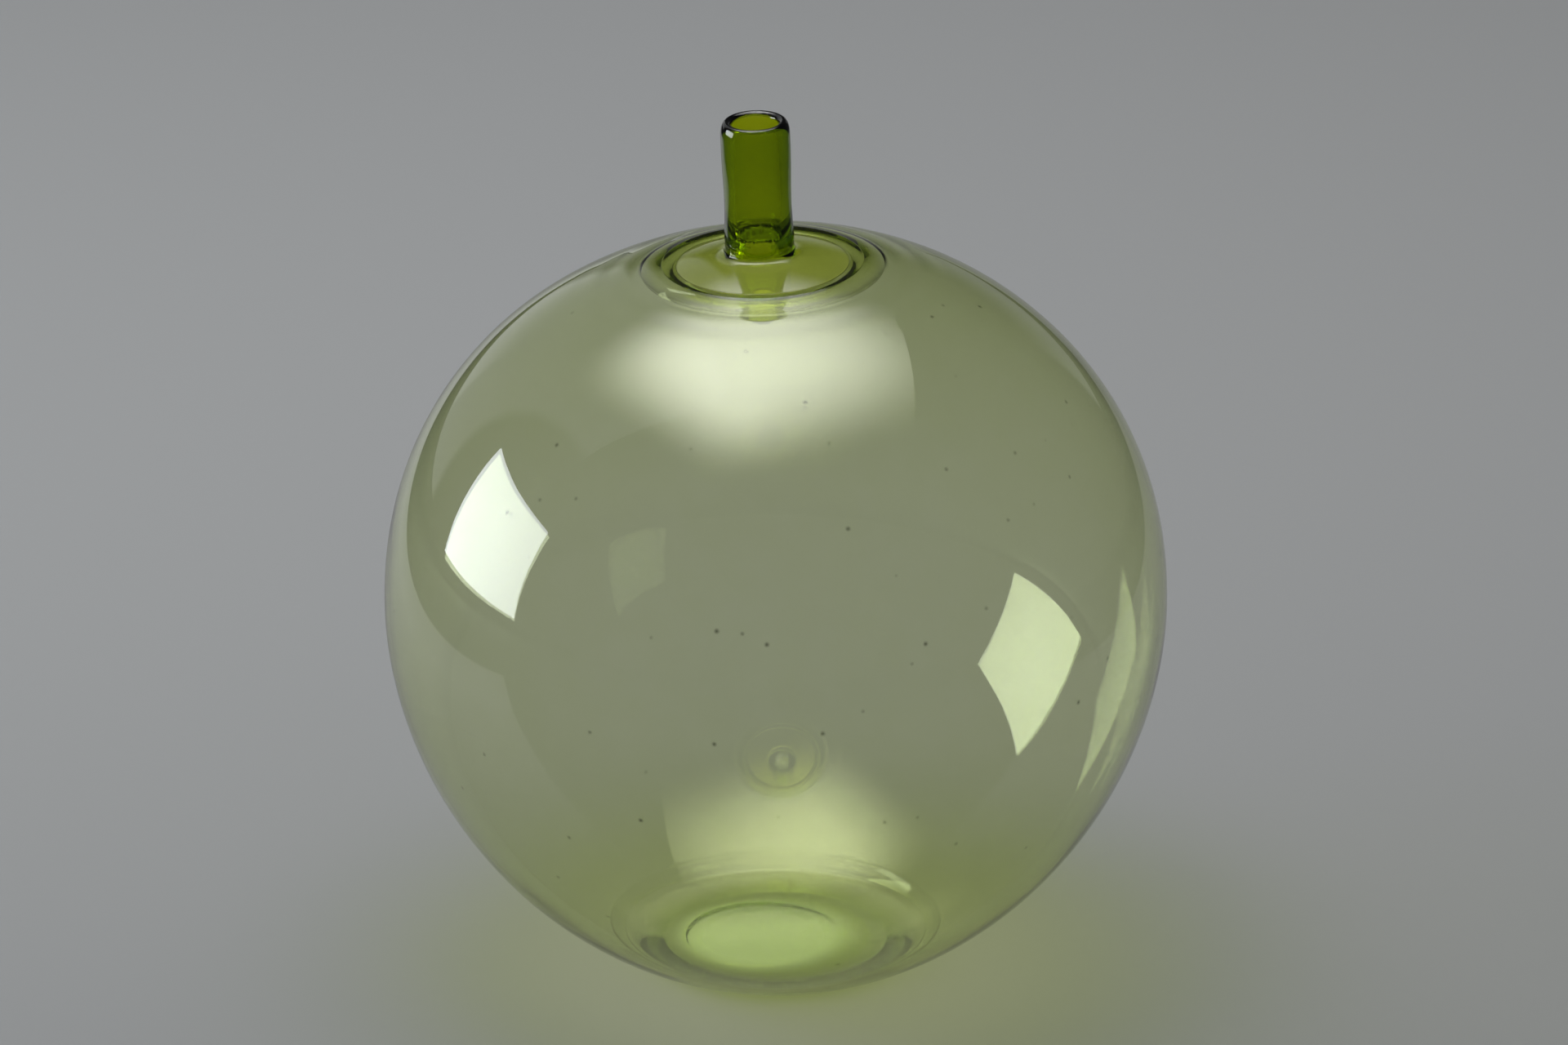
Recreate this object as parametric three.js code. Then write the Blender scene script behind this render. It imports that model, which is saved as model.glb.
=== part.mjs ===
// Hand-blown glass vase: a hollow globe with a short, narrow neck.
// The neck is a tube of darker glass on a domed disc, and the disc closes the mouth of the globe.
// Millimetres, +Z up. The origin is the centre of the plane that the vase stands on.
import * as THREE from 'three';

// Globe
const GLOBE_RADIUS = 162; // widest circle, outside
const EQUATOR_HEIGHT = 160; // standing plane to the widest circle
const UPPER_RISE = 152.8; // widest circle to the pole that the upper curve aims at
const UPPER_FULLNESS = 2.1; // 2 is a true ellipse, more is squarer
const LOWER_FULLNESS = 1.92;
const SIDE_WALL = 2.2; // glass at the widest circle
const SHOULDER_WALL = 3.8; // glass that the upper half thickens to
const HEEL_WALL = 2.6; // glass that the lower half thickens to

// Base pad, from its centre outwards
const PONTIL_RADIUS = 31; // ground hollow under the centre
const PONTIL_OFFSET = 5.2; // the hollow sits this far to the left of the middle
const PONTIL_DEPTH = 1.7;
const PONTIL_LIFT = 0.8; // rim of the hollow above the standing plane
const PONTIL_WALL = 5.8; // glass left over the middle of the hollow
const PONTIL_BORDER = 8.5; // between the hollow and the standing ring
const FOOT_WIDTH = 7; // flat ring that the vase stands on
const HEEL_WIDTH = 17.5; // curved underside outside the standing ring
const CARRIED_WALL = 2; // wall of the globe that the pad carries inside its edge
const FLOOR_TURN = 6; // the floor follows the wall's slope this much further
const FLOOR_RISE = 1; // the floor rises this much over the hollow

// Neck and crown, from the bore outwards
const BORE_RADIUS = 9.4;
const STEM_FOOT_RADIUS = 14.4;
const STEM_WAIST_RADIUS = 13.8;
const STEM_TOP_RADIUS = 14.3;
const STEM_LENGTH = 58.2; // crown to lip
const STEM_SWEEP = 2.8; // how far the crown sweeps up and in to the foot of the tube
const LIP_HEIGHT = 5.5; // rounded end of the tube
const CROWN_WIDTH = 18.4; // domed disc between the sweep and the seam
const CROWN_RISE = 4.2;
const CROWN_WALL = 4.6; // glass of the disc round the throat
const CROWN_BULGE = 0.6; // the crown swells this far over a straight cone
const CROWN_EDGE = 0.7; // rounded edge on each side of the seam
const COLLAR_WALL = 1.5; // stub of the crown inside the tube
const COLLAR_HEIGHT = 9.5;
const THROAT_ROUND = 5; // rounded way from the globe into the throat
const BEAD_WIDTH = 5.8; // ring between the crown and the globe
const BEAD_WALL = 3.4; // glass at the seam
const BEAD_TOP_TURN = 1.6; // the ring's top follows the globe's slope this far in
const BEAD_UNDER_TURN = 2; // the same on the inner side
const SEAM_DROP = 0.7; // the seam lies below the globe's mouth
const CROWN_TILT = 2.07; // degrees that the crown and neck lean to the left
const LEAN_CLEAR = 8; // the shoulder has the full lean this far below the mouth
const LEAN_BLEND = 36; // and stands upright this much lower
const STEM_OFFSET = 1; // the tube stands this far left of the crown's middle

const JOINT_GAP = 0.3; // clearance between neighbouring pieces
const GLOBE_SIDES = 64;
const CROWN_SIDES = 48;
const STEM_SIDES = 40;

// Radii and heights that follow. Heights count from the widest circle.
const footHeight = -EQUATOR_HEIGHT;
const footInner = PONTIL_RADIUS + PONTIL_BORDER;
const footOuter = footInner + FOOT_WIDTH;
const padRadius = footOuter + HEEL_WIDTH;
const sweepRadius = STEM_FOOT_RADIUS + STEM_SWEEP;
const seamRadius = sweepRadius + CROWN_WIDTH;
const mouthRadius = seamRadius + BEAD_WIDTH + JOINT_GAP;
const collarRadius = BORE_RADIUS - JOINT_GAP;
const throatRadius = collarRadius - COLLAR_WALL;

const point = (radius, height) => new THREE.Vector2(radius, height);

// Curved run from one point to another, pulled towards a third
function bend(from, pull, to, steps) {
  return new THREE.QuadraticBezierCurve(from, pull, to).getPoints(steps);
}

// Quarter of an ellipse between two points, leaving the first one upright or level
function quarter(from, to, leaves, steps) {
  const corner = leaves === 'upright' ? point(from.x, to.y) : point(to.x, from.y);
  const run = [];
  for (let i = 0; i <= steps; i += 1) {
    const turn = (i / steps) * (Math.PI / 2);
    const [a, b] = [1 - Math.sin(turn), 1 - Math.cos(turn)];
    run.push(point(
      corner.x + (from.x - corner.x) * a + (to.x - corner.x) * b,
      corner.y + (from.y - corner.y) * a + (to.y - corner.y) * b,
    ));
  }
  return run;
}

// Half of a superellipse, turned about the axis: one wall surface of the globe
class Dome {
  constructor(radius, rise, fullness) {
    this.radius = radius;
    this.rise = rise;
    this.fullness = fullness;
  }

  heightAt(r) {
    return this.rise * (1 - (r / this.radius) ** this.fullness) ** (1 / this.fullness);
  }

  pointAt(r) {
    return point(r, this.heightAt(r));
  }

  // Steepness below level at a radius, as an angle
  slopeAt(r) {
    const step = 0.01;
    return Math.atan((this.heightAt(r - step) - this.heightAt(r + step)) / (2 * step));
  }

  // The point straight ahead towards the axis, along the slope at a radius
  ahead(r, distance) {
    return point(r - distance, this.heightAt(r) + distance * Math.tan(this.slopeAt(r)));
  }

  points(fromRadius, toRadius, steps) {
    const angleOf = (r) => Math.acos(Math.min(r / this.radius, 1) ** (this.fullness / 2));
    const [start, end] = [angleOf(fromRadius), angleOf(toRadius)];
    const run = [];
    for (let i = 0; i <= steps; i += 1) {
      const angle = start + ((end - start) * i) / steps;
      run.push(point(
        this.radius * Math.cos(angle) ** (2 / this.fullness),
        this.rise * Math.sin(angle) ** (2 / this.fullness),
      ));
    }
    return run;
  }
}

// The lower curve is the one that passes through the edge of the standing ring.
const lowerDrop = footHeight
  / (1 - (footOuter / GLOBE_RADIUS) ** LOWER_FULLNESS) ** (1 / LOWER_FULLNESS);
const innerRadius = GLOBE_RADIUS - SIDE_WALL;
const upperOutside = new Dome(GLOBE_RADIUS, UPPER_RISE, UPPER_FULLNESS);
const upperInside = new Dome(innerRadius, UPPER_RISE - SHOULDER_WALL, UPPER_FULLNESS);
const lowerOutside = new Dome(GLOBE_RADIUS, lowerDrop, LOWER_FULLNESS);
const lowerInside = new Dome(innerRadius, lowerDrop + HEEL_WALL, LOWER_FULLNESS);

// Radius on the inner surface straight through the wall from a radius on the outer one
function throughWall(outside, inside, r) {
  const wall = Math.abs(outside.heightAt(r) - inside.heightAt(r));
  const slope = Math.abs(outside.slopeAt(r));
  return r - wall * Math.cos(slope) * Math.sin(slope);
}

const mouthHeight = upperOutside.heightAt(mouthRadius);
const seamHeight = mouthHeight - SEAM_DROP;
const landHeight = seamHeight + CROWN_RISE;
const tubeFoot = landHeight + STEM_SWEEP;
const lipHeight = landHeight + STEM_LENGTH;

// Closed outline turned about the Z axis. The outline runs up its outer side and down its inner side.
function turned(outline, sides) {
  const first = outline[0];
  const last = outline[outline.length - 1];
  const closed = first.x < 1e-6 && last.x < 1e-6 ? outline : [...outline, first.clone()];
  const tidy = closed.filter((p, i) => i === 0 || p.distanceTo(closed[i - 1]) > 1e-4);
  return new THREE.LatheGeometry(tidy, sides).rotateX(Math.PI / 2);
}

// Moves each vertex by what a function of its place returns
function reshape(geometry, moved) {
  const places = geometry.attributes.position;
  const place = new THREE.Vector3();
  for (let i = 0; i < places.count; i += 1) {
    place.fromBufferAttribute(places, i);
    moved(place);
    places.setXYZ(i, place.x, place.y, place.z);
  }
  geometry.computeVertexNormals();
  return geometry;
}

const radiusOf = (place) => Math.hypot(place.x, place.y);

// Blown globe, open at the mouth above and where the base pad closes it below
function globeGeometry() {
  const padInner = throughWall(lowerOutside, lowerInside, padRadius);
  const mouthInner = throughWall(upperOutside, upperInside, mouthRadius);
  const outline = [
    ...lowerOutside.points(padRadius, GLOBE_RADIUS, 11),
    ...upperOutside.points(GLOBE_RADIUS, mouthRadius, 12),
    ...upperInside.points(mouthInner, innerRadius, 12),
    ...lowerInside.points(innerRadius, padInner, 11),
  ];
  // Only the shoulder leans with the crown. The belly stays upright.
  const leanFull = mouthHeight - LEAN_CLEAR;
  const leanStart = leanFull - LEAN_BLEND;
  const axis = new THREE.Vector3(0, 1, 0);
  return reshape(turned(outline, GLOBE_SIDES), (place) => {
    const share = THREE.MathUtils.smoothstep(place.z, leanStart, leanFull);
    place.applyAxisAngle(axis, -THREE.MathUtils.degToRad(CROWN_TILT) * share);
  });
}

// Thick bottom of the globe, with a ground hollow in the middle of its standing ring
function basePadGeometry() {
  const edge = padRadius - JOINT_GAP;
  const edgeInner = throughWall(lowerOutside, lowerInside, edge);
  const rimHeight = footHeight + PONTIL_LIFT;
  const hollowTop = rimHeight + PONTIL_DEPTH;
  const floorHeight = hollowTop + PONTIL_WALL;
  const floorRadius = edgeInner - CARRIED_WALL;
  const overHollow = point(PONTIL_RADIUS, floorHeight - FLOOR_RISE);
  const outline = [
    ...bend(point(0, hollowTop), point(PONTIL_RADIUS / 2, hollowTop), point(PONTIL_RADIUS, rimHeight), 5),
    ...bend(
      point(PONTIL_RADIUS, rimHeight),
      point((PONTIL_RADIUS + footInner) / 2, footHeight),
      point(footInner, footHeight),
      3,
    ),
    ...lowerOutside.points(footOuter, edge, 5),
    ...lowerInside.points(edgeInner, floorRadius, 1),
    ...bend(
      lowerInside.pointAt(floorRadius),
      lowerInside.ahead(floorRadius, FLOOR_TURN),
      overHollow,
      5,
    ),
    ...bend(overHollow, point(PONTIL_RADIUS / 2, floorHeight), point(0, floorHeight), 3),
  ];
  return reshape(turned(outline, GLOBE_SIDES), (place) => {
    const underside = place.z < (hollowTop + floorHeight) / 2;
    const share = 1 - THREE.MathUtils.smoothstep(radiusOf(place), PONTIL_RADIUS, footInner);
    place.x -= underside ? PONTIL_OFFSET * share : 0;
  });
}

// Ring of glass that joins the crown to the mouth of the globe
function seamBeadGeometry() {
  const edge = mouthRadius - JOINT_GAP;
  const edgeInner = throughWall(upperOutside, upperInside, edge);
  const bottom = seamHeight - BEAD_WALL;
  const outline = [
    upperInside.pointAt(edgeInner),
    upperOutside.pointAt(edge),
    ...bend(
      upperOutside.pointAt(edge),
      upperOutside.ahead(edge, BEAD_TOP_TURN),
      point(seamRadius + CROWN_EDGE, seamHeight),
      4,
    ),
    ...quarter(point(seamRadius + CROWN_EDGE, seamHeight), point(seamRadius, seamHeight - CROWN_EDGE), 'level', 3),
    point(seamRadius, bottom + CROWN_EDGE),
    ...bend(
      point(seamRadius + CROWN_EDGE, bottom),
      upperInside.ahead(edgeInner, BEAD_UNDER_TURN),
      upperInside.pointAt(edgeInner),
      4,
    ),
  ];
  return turned(outline, CROWN_SIDES);
}

// Domed disc that sweeps up to the neck, with a collar inside the tube and a throat through it
function crownDiscGeometry() {
  const rim = seamRadius - JOINT_GAP;
  const collarTop = landHeight + COLLAR_HEIGHT;
  const throatMouth = landHeight - CROWN_WALL;
  const middle = (sweepRadius + rim) / 2;
  const outline = [
    point(rim, seamHeight - BEAD_WALL + CROWN_EDGE),
    ...quarter(point(rim, seamHeight - CROWN_EDGE), point(rim - CROWN_EDGE, seamHeight), 'upright', 3),
    ...bend(
      point(rim - CROWN_EDGE, seamHeight),
      point(middle, seamHeight + CROWN_RISE / 2 + CROWN_BULGE),
      point(sweepRadius, landHeight),
      6,
    ),
    ...bend(
      point(sweepRadius, landHeight),
      point(STEM_FOOT_RADIUS, landHeight),
      point(STEM_FOOT_RADIUS, tubeFoot),
      4,
    ),
    point(collarRadius, tubeFoot),
    ...quarter(
      point(collarRadius, collarTop - COLLAR_WALL / 2),
      point(collarRadius - COLLAR_WALL / 2, collarTop),
      'upright',
      2,
    ),
    ...quarter(
      point(throatRadius + COLLAR_WALL / 2, collarTop),
      point(throatRadius, collarTop - COLLAR_WALL / 2),
      'level',
      2,
    ),
    ...quarter(
      point(throatRadius, throatMouth + THROAT_ROUND),
      point(throatRadius + THROAT_ROUND, throatMouth),
      'upright',
      3,
    ),
    ...bend(
      point(throatRadius + THROAT_ROUND, throatMouth),
      point(middle, throatMouth),
      point(rim - CROWN_EDGE, seamHeight - BEAD_WALL),
      5,
    ),
  ];
  return reshape(turned(outline, CROWN_SIDES), (place) => {
    const share = 1 - THREE.MathUtils.smoothstep(radiusOf(place), sweepRadius, rim - CROWN_EDGE);
    place.x -= STEM_OFFSET * share;
  });
}

// Dark glass tube with a rounded lip
function stemGeometry() {
  const foot = tubeFoot + JOINT_GAP;
  const shoulder = lipHeight - LIP_HEIGHT;
  const crest = (STEM_TOP_RADIUS + BORE_RADIUS) / 2;
  const side = new THREE.SplineCurve([
    point(STEM_FOOT_RADIUS, foot),
    point(STEM_WAIST_RADIUS, THREE.MathUtils.lerp(foot, shoulder, 0.4)),
    point(STEM_TOP_RADIUS, THREE.MathUtils.lerp(foot, shoulder, 0.8)),
    point(STEM_TOP_RADIUS, shoulder),
  ]).getPoints(9);
  const outline = [
    ...side,
    ...quarter(point(STEM_TOP_RADIUS, shoulder), point(crest, lipHeight), 'upright', 5),
    ...quarter(point(crest, lipHeight), point(BORE_RADIUS, lipHeight - LIP_HEIGHT / 2), 'level', 4),
    point(BORE_RADIUS, foot),
  ];
  return turned(outline, STEM_SIDES);
}

const paleGlass = { color: 0xb9c78f, roughness: 0.05, metalness: 0, transparent: true, opacity: 0.45 };
const oliveGlass = { color: 0x7f9038, roughness: 0.05, metalness: 0, transparent: true, opacity: 0.6 };
const darkGlass = { color: 0x3f4b02, roughness: 0.05, metalness: 0, transparent: true, opacity: 0.85 };

function piece(name, geometry, glass) {
  const mesh = new THREE.Mesh(geometry, new THREE.MeshStandardMaterial(glass));
  mesh.name = name;
  return mesh;
}

const stem = piece('stem', stemGeometry(), darkGlass);
stem.position.x = -STEM_OFFSET;

const crown = new THREE.Group();
crown.rotation.y = -THREE.MathUtils.degToRad(CROWN_TILT);
crown.add(
  piece('seam_bead', seamBeadGeometry(), oliveGlass),
  piece('crown_disc', crownDiscGeometry(), paleGlass),
  stem,
);

const vase = new THREE.Group();
vase.position.z = EQUATOR_HEIGHT;
vase.add(
  piece('globe', globeGeometry(), paleGlass),
  piece('base_pad', basePadGeometry(), oliveGlass),
  crown,
);

const part = new THREE.Group();
part.add(vase);

export default part;
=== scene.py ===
"""A hand-blown glass vase: a pale green globe with a short, dark neck.

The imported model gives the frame. Each of its solids is replaced here by a fine piece of glass in the
same place. The pieces were joined hot, so they bite a little into each other and no air is left between
them. The faces where they meet slant through the wall, because upright ones would mirror like metal.
Sizes are in millimetres, and heights count from the widest circle of the globe.
"""

import logging
import math
from collections.abc import Callable, Sequence
from dataclasses import dataclass
from enum import Enum
from itertools import pairwise

import bpy
from mathutils import Matrix, Vector, noise

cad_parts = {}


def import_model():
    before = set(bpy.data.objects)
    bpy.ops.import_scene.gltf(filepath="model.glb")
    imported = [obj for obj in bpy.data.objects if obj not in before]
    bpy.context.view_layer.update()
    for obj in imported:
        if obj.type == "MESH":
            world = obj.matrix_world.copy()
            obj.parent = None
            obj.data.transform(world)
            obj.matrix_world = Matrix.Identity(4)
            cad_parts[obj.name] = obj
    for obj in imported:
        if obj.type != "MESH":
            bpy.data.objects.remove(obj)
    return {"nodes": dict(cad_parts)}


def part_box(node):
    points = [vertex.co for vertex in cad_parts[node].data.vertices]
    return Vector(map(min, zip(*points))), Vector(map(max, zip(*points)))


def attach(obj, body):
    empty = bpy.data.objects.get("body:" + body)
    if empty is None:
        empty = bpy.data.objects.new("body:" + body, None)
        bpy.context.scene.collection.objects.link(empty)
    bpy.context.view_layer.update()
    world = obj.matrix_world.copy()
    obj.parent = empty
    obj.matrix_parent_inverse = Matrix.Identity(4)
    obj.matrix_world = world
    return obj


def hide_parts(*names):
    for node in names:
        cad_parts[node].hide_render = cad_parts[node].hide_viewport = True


log = logging.getLogger("vase")

MM = 0.001
BODY = "root"
FUSE = 0.06  # how far a piece bites into its neighbour
SHARP_ANGLE = math.radians(32)
SAME_PLACE = 1e-3  # two points of an outline that are closer than this are one
ON_AXIS = 1e-6
DOUBLES = 1e-7  # metres

Point = tuple[float, float]
Outline = list[Point]
Tree = bpy.types.NodeTree
Node = bpy.types.Node
Socket = bpy.types.NodeSocket
Piece = bpy.types.Object


class Leaves(Enum):
    """Which way a rounded corner sets off."""

    UPRIGHT = "upright"
    LEVEL = "level"


def linear(hex_colour: str) -> tuple[float, float, float, float]:
    """Turns an sRGB hex colour into the linear colour that shaders use.

    Args:
        hex_colour: Six hex digits after a hash.

    Returns:
        Red, green, blue and an alpha of 1.
    """
    shares = [int(hex_colour[i : i + 2], 16) / 255 for i in (1, 3, 5)]
    red, green, blue = (c / 12.92 if c <= 0.04045 else ((c + 0.055) / 1.055) ** 2.4 for c in shares)
    return red, green, blue, 1.0


def smoothstep(value: float, low: float, high: float) -> float:
    """Goes from 0 at low to 1 at high without a corner."""
    share = min(max((value - low) / (high - low), 0.0), 1.0)
    return share * share * (3 - 2 * share)


def mix(a: float, b: float, share: float) -> float:
    """Gives the value that lies a share of the way from a to b."""
    return a + (b - a) * share


def bend(start: Point, pull: Point, end: Point, steps: int) -> Outline:
    """Runs a curve from one point to another, pulled towards a third.

    Args:
        start: Where the curve begins.
        pull: The point that the curve leans to.
        end: Where the curve ends.
        steps: Number of straight steps.

    Returns:
        The points of the curve, both ends included.
    """
    run = []
    for i in range(steps + 1):
        t = i / steps
        weights = ((1 - t) ** 2, 2 * t * (1 - t), t * t)
        run.append(tuple(sum(w * p[k] for w, p in zip(weights, (start, pull, end))) for k in (0, 1)))
    return run


def quarter(start: Point, end: Point, leaves: Leaves, steps: int) -> Outline:
    """Rounds a corner with a quarter of an ellipse.

    Args:
        start: Where the corner begins.
        end: Where the corner ends.
        leaves: Whether it sets off upright or level.
        steps: Number of straight steps.

    Returns:
        The points of the corner, both ends included.
    """
    middle = (start[0], end[1]) if leaves is Leaves.UPRIGHT else (end[0], start[1])
    run = []
    for i in range(steps + 1):
        turn = i / steps * math.pi / 2
        from_start, from_end = 1 - math.sin(turn), 1 - math.cos(turn)
        run.append(
            tuple(
                middle[k] + (start[k] - middle[k]) * from_start + (end[k] - middle[k]) * from_end
                for k in (0, 1)
            )
        )
    return run


def tidy(outline: Sequence[Point]) -> Outline:
    """Leaves out each point that repeats the one before it.

    Args:
        outline: The points as drawn.

    Returns:
        The points that are kept.
    """
    kept = [outline[0]]
    for point in outline[1:]:
        if math.dist(point, kept[-1]) > SAME_PLACE:
            kept.append(point)
    return kept


@dataclass(frozen=True)
class Dome:
    """Half of a superellipse turned about the axis: one surface of the globe's wall.

    A dome with a negative rise hangs below the widest circle.
    """

    radius: float
    rise: float
    fullness: float

    def height_at(self, radius: float) -> float:
        """Gives the height of the surface at a distance from the axis."""
        return self.rise * (1 - (radius / self.radius) ** self.fullness) ** (1 / self.fullness)

    def point_at(self, radius: float) -> Point:
        """Gives the outline's point at a distance from the axis."""
        return radius, self.height_at(radius)

    def slope_at(self, radius: float) -> float:
        """Gives the steepness below level at a distance from the axis, as an angle."""
        step = 0.01
        return math.atan((self.height_at(radius - step) - self.height_at(radius + step)) / (2 * step))

    def ahead(self, radius: float, distance: float) -> Point:
        """Gives the point straight ahead towards the axis, along the slope at a distance from it."""
        return radius - distance, self.height_at(radius) + distance * math.tan(self.slope_at(radius))

    def run(self, start: float, end: float, steps: int) -> Outline:
        """Follows the surface between two distances from the axis.

        Args:
            start: First distance from the axis.
            end: Last distance from the axis.
            steps: Number of straight steps.

        Returns:
            The points of the outline, both ends included.
        """
        low, high = (math.acos(min(r / self.radius, 1) ** (self.fullness / 2)) for r in (start, end))
        angles = [mix(low, high, i / steps) for i in range(steps + 1)]
        power = 2 / self.fullness
        return [(self.radius * math.cos(a) ** power, self.rise * math.sin(a) ** power) for a in angles]


@dataclass(frozen=True)
class VaseForm:
    """The driving sizes of the vase, which all its pieces share."""

    globe_radius: float
    equator_height: float = 160.0
    upper_rise: float = 152.8
    upper_fullness: float = 2.1
    lower_fullness: float = 1.92
    side_wall: float = 2.2
    shoulder_wall: float = 3.8
    heel_wall: float = 2.6
    standing_radius: float = 46.5
    pad_radius: float = 64.0
    seam_radius: float = 35.6
    mouth_radius: float = 41.7
    seam_drop: float = 0.7
    crown_rise: float = 4.2
    mouth_scarf: float = 7.5  # the joint at the mouth slants outwards by this much through the wall
    pad_scarf: float = 5.5  # the same round the base pad
    sweep: float = 2.8  # how far the crown sweeps up and in to the foot of the tube
    tube_radius: float = 14.4
    bore_radius: float = 9.4
    fused_length: float = 4.2  # how far up the bore the crown's collar melted into the tube
    stem_length: float = 58.2
    stem_offset: float = 1.0
    crown_tilt: float = 2.07

    @classmethod
    def from_frame(cls) -> "VaseForm":
        """Reads the globe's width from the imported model."""
        low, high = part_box("globe")
        return cls(globe_radius=(high.x - low.x) / 2 / MM)

    @property
    def foot_height(self) -> float:
        """Height of the plane that the vase stands on."""
        return -self.equator_height

    @property
    def upper_outside(self) -> Dome:
        """Outer surface above the widest circle."""
        return Dome(self.globe_radius, self.upper_rise, self.upper_fullness)

    @property
    def upper_inside(self) -> Dome:
        """Inner surface above the widest circle."""
        radius = self.globe_radius - self.side_wall
        return Dome(radius, self.upper_rise - self.shoulder_wall, self.upper_fullness)

    @property
    def lower_outside(self) -> Dome:
        """Outer surface below the widest circle, through the edge of the standing ring."""
        share = Dome(self.globe_radius, 1.0, self.lower_fullness).height_at(self.standing_radius)
        return Dome(self.globe_radius, self.foot_height / share, self.lower_fullness)

    @property
    def lower_inside(self) -> Dome:
        """Inner surface below the widest circle."""
        radius = self.globe_radius - self.side_wall
        return Dome(radius, self.lower_outside.rise + self.heel_wall, self.lower_fullness)

    @property
    def mouth_height(self) -> float:
        """Height of the edge of the globe's mouth."""
        return self.upper_outside.height_at(self.mouth_radius)

    @property
    def seam_height(self) -> float:
        """Height of the seam round the crown."""
        return self.mouth_height - self.seam_drop

    @property
    def land_height(self) -> float:
        """Height of the flat land that the tube stands on."""
        return self.seam_height + self.crown_rise

    @property
    def tube_foot(self) -> float:
        """Height of the tube's foot, on top of the crown's sweep."""
        return self.land_height + self.sweep

    @property
    def fused_top(self) -> float:
        """Height up to which the collar melted into the tube."""
        return self.tube_foot + self.fused_length

    @property
    def lip_height(self) -> float:
        """Height of the lip."""
        return self.land_height + self.stem_length

    def lean(self, place: Vector, share: float = 1.0) -> Vector:
        """Leans a place to the left about the middle of the globe.

        Args:
            place: A place in millimetres, with its height from the widest circle.
            share: Share of the crown's whole tilt.

        Returns:
            The place after the lean.
        """
        return Matrix.Rotation(-math.radians(self.crown_tilt) * share, 3, "Y") @ place


def deselect_all() -> None:
    """Leaves edit mode and selects nothing."""
    if bpy.context.object and bpy.context.object.mode != "OBJECT":
        bpy.ops.object.mode_set(mode="OBJECT")
    bpy.ops.object.select_all(action="DESELECT")


def turned(name: str, outline: Sequence[Point], sides: int) -> Piece:
    """Draws an outline point by point and spins it about the Z axis.

    An outline that ends on the axis at both ends closes there. Any other one is closed on itself.

    Args:
        name: Name of the new piece.
        outline: Distances from the axis and heights.
        sides: Number of sides round the axis.

    Returns:
        The closed piece, with its origin on the standing plane.
    """
    path = tidy(outline)
    on_axis = path[0][0] < ON_AXIS and path[-1][0] < ON_AXIS
    if not on_axis:
        path.append(path[0])
    points = [Vector((r, 0, h)) * MM for r, h in path]
    deselect_all()
    bpy.ops.mesh.primitive_circle_add(vertices=3, radius=MM, location=points[0])
    piece = bpy.context.object
    piece.name = piece.data.name = name
    bpy.ops.object.mode_set(mode="EDIT")
    bpy.ops.mesh.select_all(action="SELECT")
    bpy.ops.mesh.merge(type="CENTER")
    for here, there in pairwise(points):
        bpy.ops.mesh.extrude_region_move(TRANSFORM_OT_translate={"value": there - here})
    bpy.ops.mesh.select_all(action="SELECT")
    bpy.ops.mesh.remove_doubles(threshold=DOUBLES)
    bpy.ops.mesh.spin(steps=sides, angle=math.tau, center=(0, 0, 0), axis=(0, 0, 1))
    bpy.ops.mesh.select_all(action="SELECT")
    bpy.ops.mesh.remove_doubles(threshold=DOUBLES * 10)
    bpy.ops.mesh.normals_make_consistent(inside=False)
    bpy.ops.object.mode_set(mode="OBJECT")
    bpy.ops.object.transform_apply(location=True, rotation=True, scale=True)
    return piece


def reshape(piece: Piece, rule: Callable[[Vector], Vector]) -> None:
    """Moves each vertex by a rule.

    Args:
        piece: The piece to change.
        rule: Takes a place in millimetres and gives its new place.
    """
    for vertex in piece.data.vertices:
        vertex.co = rule(vertex.co / MM) * MM
    piece.data.update()


def finish_piece(piece: Piece, form: VaseForm, finish: "GlassFinish") -> None:
    """Lifts a piece onto the standing plane, smooths its shading and dresses it.

    Args:
        piece: A piece whose heights count from the widest circle.
        form: Sizes of the vase.
        finish: The glass that it is made of.
    """
    reshape(piece, lambda place: place + Vector((0, 0, form.equator_height)))
    deselect_all()
    piece.select_set(True)
    bpy.context.view_layer.objects.active = piece
    bpy.ops.object.shade_smooth_by_angle(angle=SHARP_ANGLE)
    piece.data.materials.append(finish.material())


def add_node(
    tree: Tree, kind: str, inputs: dict[str | int, object] | None = None, **settings: object
) -> Node:
    """Adds a node with its settings, and sets or links its inputs.

    Args:
        tree: Node tree to add to.
        kind: Type name of the node.
        inputs: A value or an output socket for each named input.
        settings: Options of the node.

    Returns:
        The new node.
    """
    node = tree.nodes.new(kind)
    for name, value in settings.items():
        setattr(node, name, value)
    for name, value in (inputs or {}).items():
        if isinstance(value, Socket):
            tree.links.new(value, node.inputs[name])
        else:
            node.inputs[name].default_value = value
    return node


def maths(tree: Tree, operation: str, *values: object) -> Socket:
    """Adds a sum of one or more values and gives its result."""
    return add_node(tree, "ShaderNodeMath", dict(enumerate(values)), operation=operation).outputs[0]


def graded(tree: Tree, value: Socket, span: Point, levels: Point, kind: str = "LINEAR") -> Socket:
    """Adds a level that runs from the first to the second one while a value crosses a span."""
    inputs = dict(enumerate((value, *span, *levels)))
    return add_node(tree, "ShaderNodeMapRange", inputs, interpolation_type=kind).outputs[0]


def fade(tree: Tree, value: Socket, full: float, gone: float) -> Socket:
    """Adds a share that is 1 at the full value and 0 at the gone one."""
    return graded(tree, value, (full, gone), (1.0, 0.0), "SMOOTHSTEP")


def length_of(tree: Tree, vector: Socket) -> Socket:
    """Adds the length of a vector."""
    return add_node(tree, "ShaderNodeVectorMath", {0: vector}, operation="LENGTH").outputs["Value"]


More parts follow.
